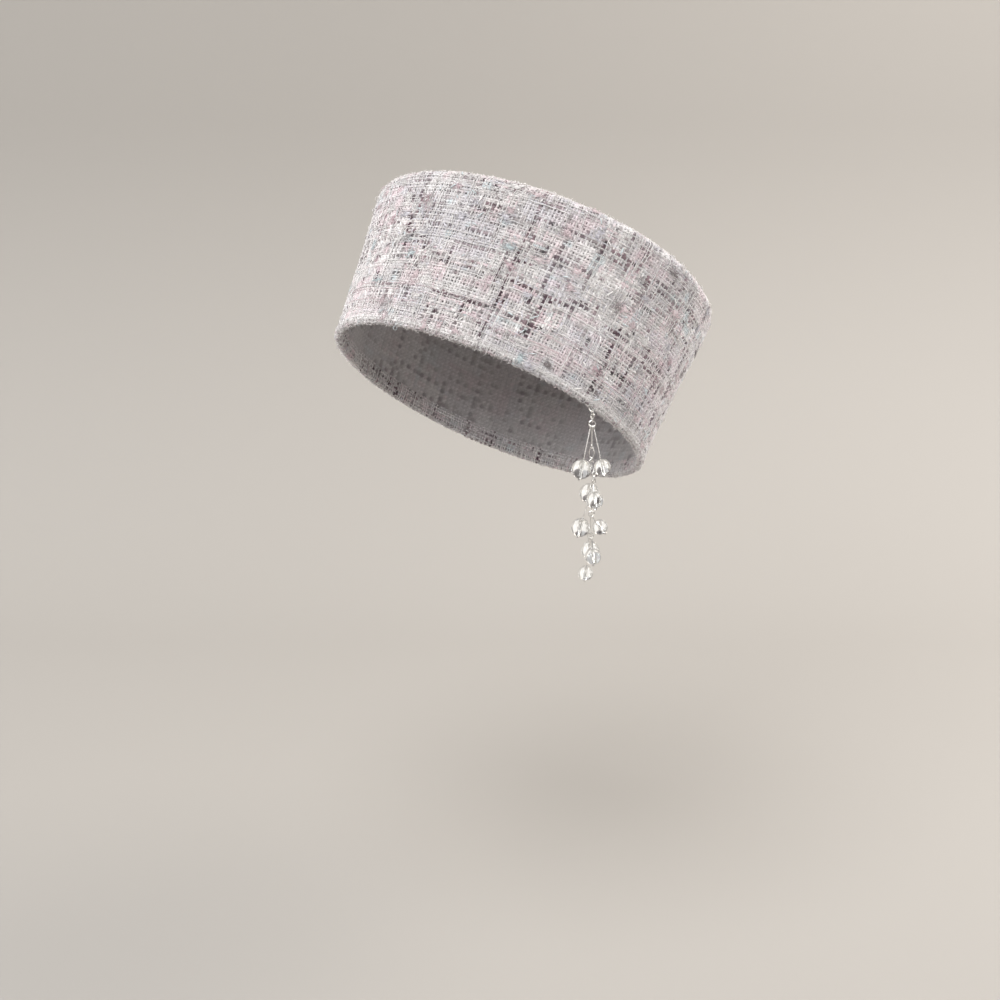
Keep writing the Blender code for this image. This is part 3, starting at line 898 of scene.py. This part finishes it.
def tufts(count, each, seed):
    """Soft patches of loose fibres on low mounds over the weave, most of them round the hat."""
    rng = np.random.default_rng(seed)
    here, round_way, up_way, normal = spots(count, rng, 5.0, BAND_LENGTH - 3.0)
    upright = (rng.uniform(size=count) < 0.3)[:, None]
    along = np.where(upright, up_way, round_way)
    side = np.cross(normal, along)
    long = rng.uniform(2.0, 4.4, count)
    wide = rng.uniform(1.0, 2.3, count)
    tones = pick_tones(count, TUFT_TONES, rng)
    which = np.repeat(np.arange(count), each)
    shift_along = np.clip(rng.normal(0, 0.6, len(which)), -1.2, 1.2) * long[which]
    shift_side = rng.normal(0, 0.8, len(which)) * wide[which]
    start = here[which] + along[which] * shift_along[:, None] + side[which] * shift_side[:, None]
    start = start + normal[which] * rng.uniform(0.25, 0.6, len(which))[:, None]
    lean = np.where(rng.uniform(size=len(which)) < 0.5, 0.0, math.pi) + rng.normal(0, 0.45, len(which))
    points = fibre_points(start, along[which], side[which], normal[which], rng, 2.0, 0.28, lean, 1.8)
    points = points.reshape(-1, 3)
    colours = tones[which] * (1 + 0.05 * rng.standard_normal(len(which)))[:, None]
    colours = np.repeat(np.clip(colours, 0, PALEST), FIBRE_POINTS, axis=0)
    faces = fibre_faces(len(which))
    mound = mound_faces()
    for number in range(count):
        base = len(points) + MOUND_POINTS * number
        faces += [[corner + base for corner in face] for face in mound]
    low = mounds(here, along, side, normal, long * 0.8, wide * 0.9, rng)
    points = np.concatenate((points, low.reshape(-1, 3)))
    colours = np.concatenate((colours, np.repeat(tones * 0.96, MOUND_POINTS, axis=0)))
    return build_mesh("tweed_tufts", points, faces, colours)


def fuzz(seed):
    """Fibres over the whole surface, thicker at the hem and the top edge."""
    rng = np.random.default_rng(seed)
    parts = []
    tones = []
    for count, low, high, crown_part, length, stand, thick in FUZZ:
        here, along, side, normal = spots(count, rng, low, high, crown_part)
        turn = rng.uniform(0, 2 * math.pi, count)
        parts.append(fibre_points(here, along, side, normal, rng, length, stand, turn, thick))
        tones.append(pick_tones(count, FUZZ_TONES, rng))
    points = np.concatenate(parts)
    colours = np.repeat(np.concatenate(tones), FIBRE_POINTS, axis=0)
    return build_mesh("tweed_fuzz", points, fibre_faces(len(points)), colours)


# Materials

def new_material(name):
    material = bpy.data.materials.new(name)
    material.use_nodes = True
    nodes = material.node_tree.nodes
    return material, nodes, material.node_tree.links, nodes["Principled BSDF"]


def add_noise(nodes, links, scale, detail=3.0):
    """Noise in the piece's own coordinates; scale counts features in a metre."""
    where = nodes.new("ShaderNodeTexCoord")
    noise = nodes.new("ShaderNodeTexNoise")
    noise.inputs["Scale"].default_value = scale
    noise.inputs["Detail"].default_value = detail
    links.new(where.outputs["Object"], noise.inputs["Vector"])
    return noise


def spread_noise(nodes, links, noise, start, end, low, high):
    """The noise with its values from start to end spread from low to high."""
    spread = nodes.new("ShaderNodeMapRange")
    for socket, value in (("From Min", start), ("From Max", end), ("To Min", low), ("To Max", high)):
        spread.inputs[socket].default_value = value
    links.new(noise.outputs["Fac"], spread.inputs["Value"])
    return spread


def add_bump(nodes, links, shader, source, strength, distance):
    bump = nodes.new("ShaderNodeBump")
    bump.inputs["Strength"].default_value = strength
    bump.inputs["Distance"].default_value = distance
    links.new(source.outputs["Fac"], bump.inputs["Height"])
    links.new(bump.outputs["Normal"], shader.inputs["Normal"])


def yarn_material(name, scale, low, high, roughness=0.85, sheen=0.2, strength=0.3):
    """Spun yarn: the tone held by the mesh, broken up by fine fibres."""
    material, nodes, links, shader = new_material(name)
    tone = nodes.new("ShaderNodeAttribute")
    tone.attribute_name = "tone"
    noise = add_noise(nodes, links, scale)
    spread = spread_noise(nodes, links, noise, 0.3, 0.7, low, high)
    mixed = nodes.new("ShaderNodeVectorMath")
    mixed.operation = "SCALE"
    links.new(tone.outputs["Color"], mixed.inputs[0])
    links.new(spread.outputs["Result"], mixed.inputs["Scale"])
    links.new(mixed.outputs["Vector"], shader.inputs["Base Color"])
    add_bump(nodes, links, shader, noise, strength, 0.0002)
    shader.inputs["Roughness"].default_value = roughness
    shader.inputs["Specular IOR Level"].default_value = 0.3
    shader.inputs["Sheen Weight"].default_value = sheen
    shader.inputs["Sheen Roughness"].default_value = 0.5
    return material


def silver_material():
    """Bright drawn wire with faint marks of handling."""
    material, nodes, links, shader = new_material("silver_wire_bright")
    noise = add_noise(nodes, links, 1800.0)
    spread = spread_noise(nodes, links, noise, 0.0, 1.0, 0.10, 0.30)
    links.new(spread.outputs["Result"], shader.inputs["Roughness"])
    add_bump(nodes, links, shader, noise, 0.12, 0.00005)
    shader.inputs["Base Color"].default_value = (0.86, 0.85, 0.83, 1)
    shader.inputs["Metallic"].default_value = 1.0
    return material


def glass_material():
    """Clear glass, polished, with the faintest unevenness."""
    material, nodes, links, shader = new_material("clear_bead_glass")
    noise = add_noise(nodes, links, 220.0, 1.0)
    add_bump(nodes, links, shader, noise, 0.06, 0.0002)
    shader.inputs["Base Color"].default_value = (0.97, 0.98, 0.98, 1)
    shader.inputs["Roughness"].default_value = 0.0
    shader.inputs["IOR"].default_value = 1.52
    shader.inputs["Transmission Weight"].default_value = 1.0
    return material


# Glass beads of the drop, drilled for their pins

BEAD_NAMES = ["bead_" + str(number) for number in range(1, 10)]
HOLE_RADIUS = 0.6
BEAD_SEGMENTS = 40
BEAD_STEPS = 20


def bead_axis(node):
    """Middle, radius and drilled direction of a bead, from its own faceted solid."""
    places = np.array([vertex.co[:] for vertex in node.data.vertices]) / MM
    centre = (places.max(axis=0) + places.min(axis=0)) / 2
    for _ in range(4):
        away = np.linalg.norm(places - centre, axis=1)
        outer = places[away > away.max() * 0.96]
        centre = centre + (outer - centre).mean(axis=0) * 0.5
    radius = np.linalg.norm(places - centre, axis=1).max()
    spread = places - places.mean(axis=0)
    values, vectors = np.linalg.eigh(spread.T @ spread)
    gaps = [values[1] - values[0], values[2] - values[1]]
    axis = vectors[:, 0] if gaps[0] > gaps[1] else vectors[:, 2]
    return centre, radius, axis


def make_bead(name, centre, radius, axis):
    """A smooth drilled ball with slightly eased hole edges."""
    start = math.asin(HOLE_RADIUS / radius)
    turn = start + (math.pi - 2 * start) * np.arange(BEAD_STEPS + 1) / BEAD_STEPS
    out = np.concatenate((radius * np.sin(turn), (HOLE_RADIUS, HOLE_RADIUS)))
    up = np.concatenate((radius * np.cos(turn), (-radius * 0.6, radius * 0.6)))
    turned = np.array(Vector(axis).to_track_quat("Z", "Y").to_matrix())
    angle = 2 * math.pi * np.arange(BEAD_SEGMENTS) / BEAD_SEGMENTS
    local = np.stack((
        out[None, :] * np.cos(angle)[:, None],
        out[None, :] * np.sin(angle)[:, None],
        up[None, :] + 0 * angle[:, None],
    ), axis=-1)
    points = centre + local @ turned.T
    faces = tube_faces(1, BEAD_SEGMENTS, len(out), True)
    return build_mesh(name, points, faces, upright=False)


# Pieces of the hat

YARN = yarn_material("tweed_yarn", 2600.0, 0.86, 1.12)
THREAD = yarn_material("tweed_thread", 2200.0, 0.94, 1.05, roughness=0.55, sheen=0.1, strength=0.1)
CLOTH = yarn_material("tweed_cloth", 1500.0, 0.75, 1.08, strength=0.6)
SHINE = yarn_material("tweed_filament", 900.0, 0.95, 1.05, roughness=0.3, sheen=0.0, strength=0.1)

BAND_PATTERN = make_pattern(COLUMNS, ROWS, BAND_SPANS, 41)
CROWN_PATTERN = make_pattern(2 * CROWN_HALF + 1, 2 * CROWN_HALF + 1, CROWN_SPANS, 43)

band = band_shell()
crown = crown_slab()
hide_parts("side_band")
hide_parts("crown_top")
HAT_PIECES = (
    (band, CLOTH),
    (crown, CLOTH),
    (band_yarns("tweed_band_warp", False, BAND_PATTERN[0], 51), YARN),
    (band_yarns("tweed_band_weft", True, BAND_PATTERN[1], 52), YARN),
    (band_threads("tweed_band_fine_warp", False, 0.60, 53), THREAD),
    (band_threads("tweed_band_fine_weft", True, 0.72, 54), THREAD),
    (crown_yarns("tweed_crown_warp", False, CROWN_PATTERN[0], 61), YARN),
    (crown_yarns("tweed_crown_weft", True, CROWN_PATTERN[1], 62), YARN),
    (crown_threads("tweed_crown_fine_warp", False, 0.5, 63), THREAD),
    (crown_threads("tweed_crown_fine_weft", True, 0.55, 64), THREAD),
    (tufts(TUFTS, TUFT_FIBRES, 55), THREAD),
    (curls(CURLS, 56), THREAD),
    (glints(GLINTS, 57), SHINE),
    (fuzz(58), THREAD),
)
for piece, material in HAT_PIECES:
    piece.data.materials.append(material)
    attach(piece, "hat")

# Pieces of the drop

GLASS = glass_material()
SILVER = silver_material()
for bead_name in BEAD_NAMES:
    bead = make_bead("glass_" + bead_name, *bead_axis(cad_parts[bead_name]))
    bead.data.materials.append(GLASS)
    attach(bead, "drop")
    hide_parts(bead_name)
for node_name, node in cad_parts.items():
    if node_name not in BEAD_NAMES and node_name not in ("side_band", "crown_top"):
        for slot in node.material_slots:
            slot.material = SILVER


# Floor, light and camera

CAMERA_RIGHT = Vector((math.cos(CAMERA_AZIMUTH), math.sin(CAMERA_AZIMUTH), 0))
CAMERA_AHEAD = Vector((-math.sin(CAMERA_AZIMUTH), math.cos(CAMERA_AZIMUTH), 0))

# Lights, in metres and watts: name, place to the camera's right, away from it and up, height aimed at,
# width and height, strength and colour
LIGHTS = (
    ("key", (-0.75, -1.05, 0.95), 0.03, (0.9, 0.9), 12.0, (1.0, 0.99, 0.975)),
    ("front", (0.6, -1.5, 0.35), 0.0, (1.2, 1.2), 1.8, (1.0, 0.98, 0.96)),
    ("back", (0.75, 0.35, 0.9), 0.05, (0.5, 0.7), 6.5, (1.0, 0.92, 0.82)),
    ("left", (-1.35, -0.2, 0.4), 0.05, (0.7, 0.7), 5.2, (1.0, 0.99, 0.98)),
    ("right", (1.35, -0.12, 0.35), 0.03, (0.7, 0.9), 11.4, (1.0, 0.98, 0.97)),
)
OVERHEAD_FROM = (-0.3, -0.5, 1.5)
OVERHEAD_STRENGTH = 1.4
OVERHEAD_SPREAD = math.radians(40)

# Upright panels that are seen only through the glass, in metres: place to the camera's right and width
PANELS = ((0.018, 0.050), (0.140, 0.100))
PANEL_AWAY = 0.07
PANEL_AIM_AWAY = -0.08
PANEL_UP = -0.08
PANEL_TALL = 0.44
PANEL_BRIGHTNESS = 0.42


def from_camera_side(right, away, up):
    """A place given as metres to the camera's right, away from it and up, from the rim's middle."""
    return tuple(CAMERA_RIGHT * right + CAMERA_AHEAD * away + Vector((0, 0, up)))


def stage():
    """A plain pale floor that sweeps up into a plain wall behind the object."""
    half = 6.0
    front = -10.0
    wall_back = 0.85
    bend = 0.45
    top = 2.4
    rows = [(front, 0.0), (wall_back - bend, 0.0)]
    for step in range(1, 17):
        turn = math.pi / 2 * step / 16
        rows.append((wall_back - bend + bend * math.sin(turn), bend * (1 - math.cos(turn))))
    rows.append((wall_back, top))
    points = []
    faces = []
    for back, up in rows:
        for side in (-half, half):
            points.append(from_camera_side(side, back, FLOOR_HEIGHT * MM + up))
    for row in range(len(rows) - 1):
        faces.append((row * 2, row * 2 + 1, row * 2 + 3, row * 2 + 2))
    mesh = bpy.data.meshes.new("pale_floor")
    mesh.from_pydata(points, [], faces)
    mesh.shade_smooth()
    made = bpy.data.objects.new("pale_floor", mesh)
    bpy.context.scene.collection.objects.link(made)
    material, nodes, links, shader = new_material("pale_floor_paint")
    shader.inputs["Base Color"].default_value = (0.43, 0.412, 0.390, 1)
    shader.inputs["Roughness"].default_value = 0.9
    shader.inputs["Specular IOR Level"].default_value = 0.0
    mesh.materials.append(material)
    made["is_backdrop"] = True


def place_light(data, place, aim):
    """An object for a light, turned from its place to what it lights."""
    made = bpy.data.objects.new(data.name, data)
    made.location = place
    made.rotation_euler = (Vector(aim) - Vector(place)).to_track_quat("-Z", "Y").to_euler()
    bpy.context.scene.collection.objects.link(made)
    return made


def add_light(name, place, aim, size, watts, colour=(1, 1, 1)):
    data = bpy.data.lights.new(name, "AREA")
    data.shape = "RECTANGLE"
    data.size, data.size_y = size
    data.energy = watts
    data.color = colour
    return place_light(data, place, aim)


def add_overhead():
    """Very soft light from far above, as even over the floor as over the hat."""
    data = bpy.data.lights.new("overhead", "SUN")
    data.energy = OVERHEAD_STRENGTH
    data.angle = OVERHEAD_SPREAD
    data.color = (1.0, 0.99, 0.98)
    place_light(data, from_camera_side(*OVERHEAD_FROM), (0, 0, 0))


def add_panels():
    """Light panels behind the drop, which only rays that pass through the glass can see."""
    for sideways, width in PANELS:
        place = from_camera_side(sideways, PANEL_AWAY, PANEL_UP)
        aim = from_camera_side(sideways, PANEL_AIM_AWAY, PANEL_UP)
        watts = PANEL_BRIGHTNESS * math.pi * width * PANEL_TALL
        panel = add_light("panel", place, aim, (width, PANEL_TALL), watts)
        panel.visible_camera = False
        panel.visible_diffuse = False
        panel.visible_glossy = False


def add_camera():
    data = bpy.data.cameras.new("camera")
    data.lens = LENS
    data.sensor_width = SENSOR
    data.clip_start = 0.05
    made = bpy.data.objects.new("camera", data)
    focal = LENS / SENSOR * PICTURE
    down = math.sin(CAMERA_DOWN)
    along = CAMERA_AHEAD * math.cos(CAMERA_DOWN) - Vector((0, 0, down))
    up = CAMERA_AHEAD * down + Vector((0, 0, math.cos(CAMERA_DOWN)))
    shift_right = (RIM_MIDDLE_PIXEL[0] - PICTURE / 2) / focal * CAMERA_DEPTH
    shift_up = (PICTURE / 2 - RIM_MIDDLE_PIXEL[1]) / focal * CAMERA_DEPTH
    place = -(CAMERA_RIGHT * shift_right + up * shift_up + along * CAMERA_DEPTH)
    turned = Matrix((CAMERA_RIGHT, up, -along)).transposed()
    made.matrix_world = Matrix.Translation(place * MM) @ turned.to_4x4()
    bpy.context.scene.collection.objects.link(made)
    bpy.context.scene.camera = made


def add_world():
    world = bpy.data.worlds.new("studio")
    world.use_nodes = True
    background = world.node_tree.nodes["Background"]
    background.inputs["Color"].default_value = (0.82, 0.80, 0.775, 1)
    background.inputs["Strength"].default_value = 0.34
    bpy.context.scene.world = world


stage()
add_world()
for name, place, aim_up, size, watts, colour in LIGHTS:
    add_light(name, from_camera_side(*place), (0, 0, aim_up), size, watts, colour)
add_overhead()
add_panels()
add_camera()
bpy.context.scene.view_settings.view_transform = "Standard"

boxes = {"cad": CAD_BOUNDS, "visual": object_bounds()}
{name: [list(corner) for corner in box] for name, box in boxes.items()}
